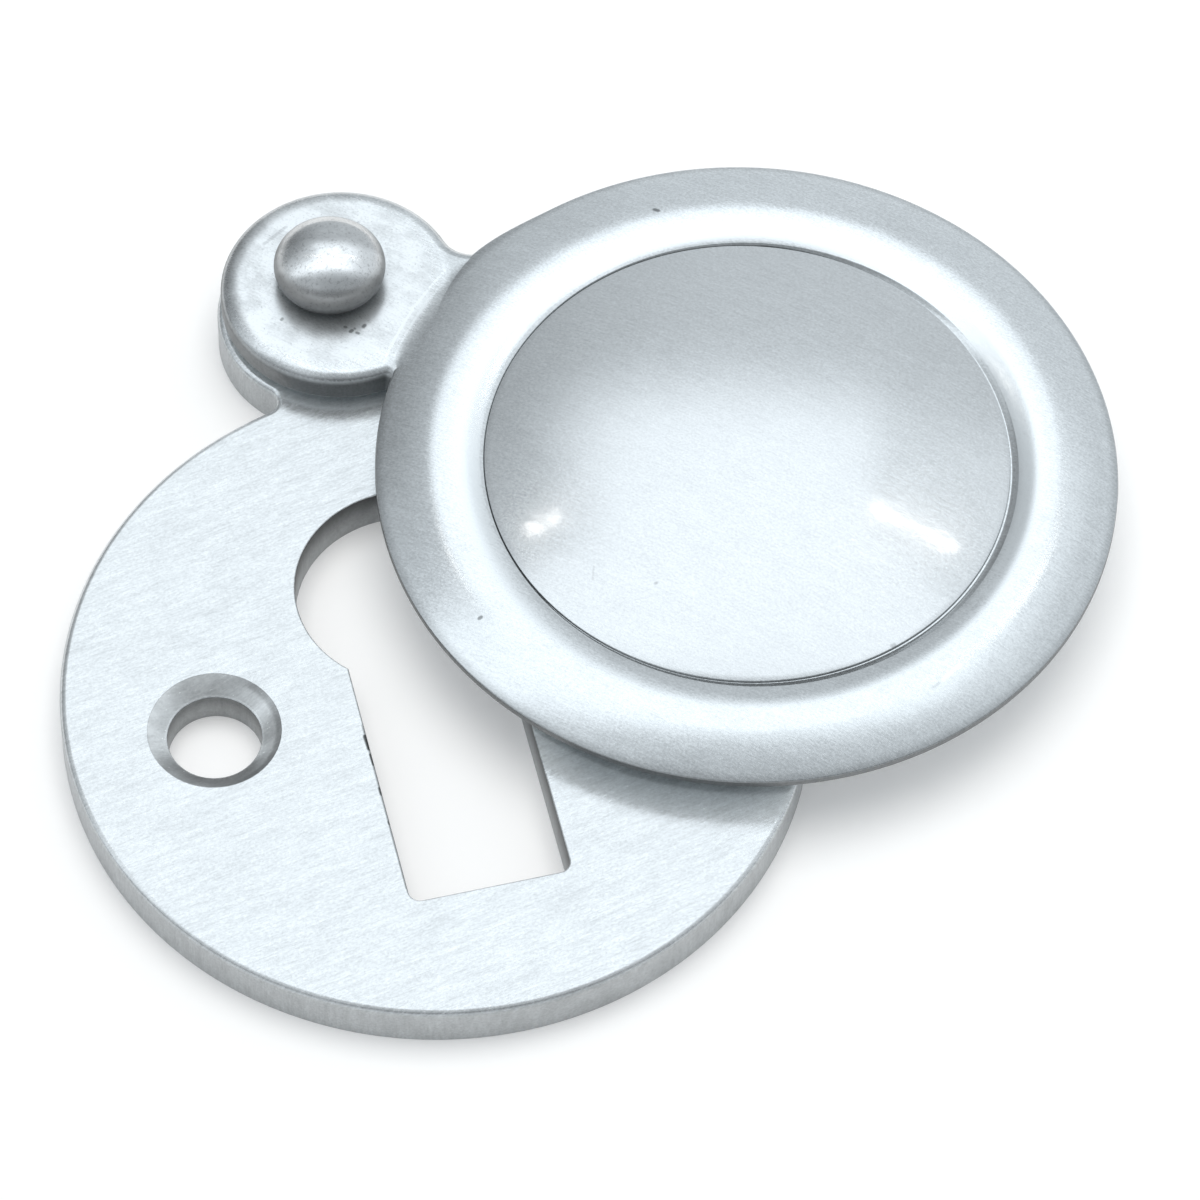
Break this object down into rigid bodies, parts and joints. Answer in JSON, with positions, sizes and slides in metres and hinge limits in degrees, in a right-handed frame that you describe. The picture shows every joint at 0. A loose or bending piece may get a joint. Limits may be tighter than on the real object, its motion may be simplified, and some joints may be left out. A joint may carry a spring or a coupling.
{
  "type": "keyhole escutcheon",
  "caption": "Round covered keyhole escutcheon: flat plate with keyhole cut-out and countersunk screw holes, and a domed cover that swings on a rivet.",
  "frame": {"origin": "middle of the plate's disc on its back face, halfway between the screw holes", "axes": "+Z out of the door through the front of the plate, +Y from the keyhole to the pivot ear, +X across the screw holes; stored with the cover swung open as in the picture"},
  "size_m": [0.0474, 0.0415, 0.0062],
  "materials": {
    "plate_satin": "satin chrome plate, brushed across the keyhole",
    "cover_satin": "satin chrome plate, brushed along the line from the pivot to the dome",
    "rivet_polished": "polished chrome plate"
  },
  "bodies": {
    "plate": {"back_plate": "plate_satin", "pivot_rivet": "rivet_polished"},
    "cover": {"swing_cover": "cover_satin"}
  },
  "joints": [
    {"name": "cover_swing", "type": "hinge", "parent": "plate", "child": "cover", "pos_m": [0, 0.0206, 0.00255], "axis": [0, 0, 1], "continuous": true}
  ]
}
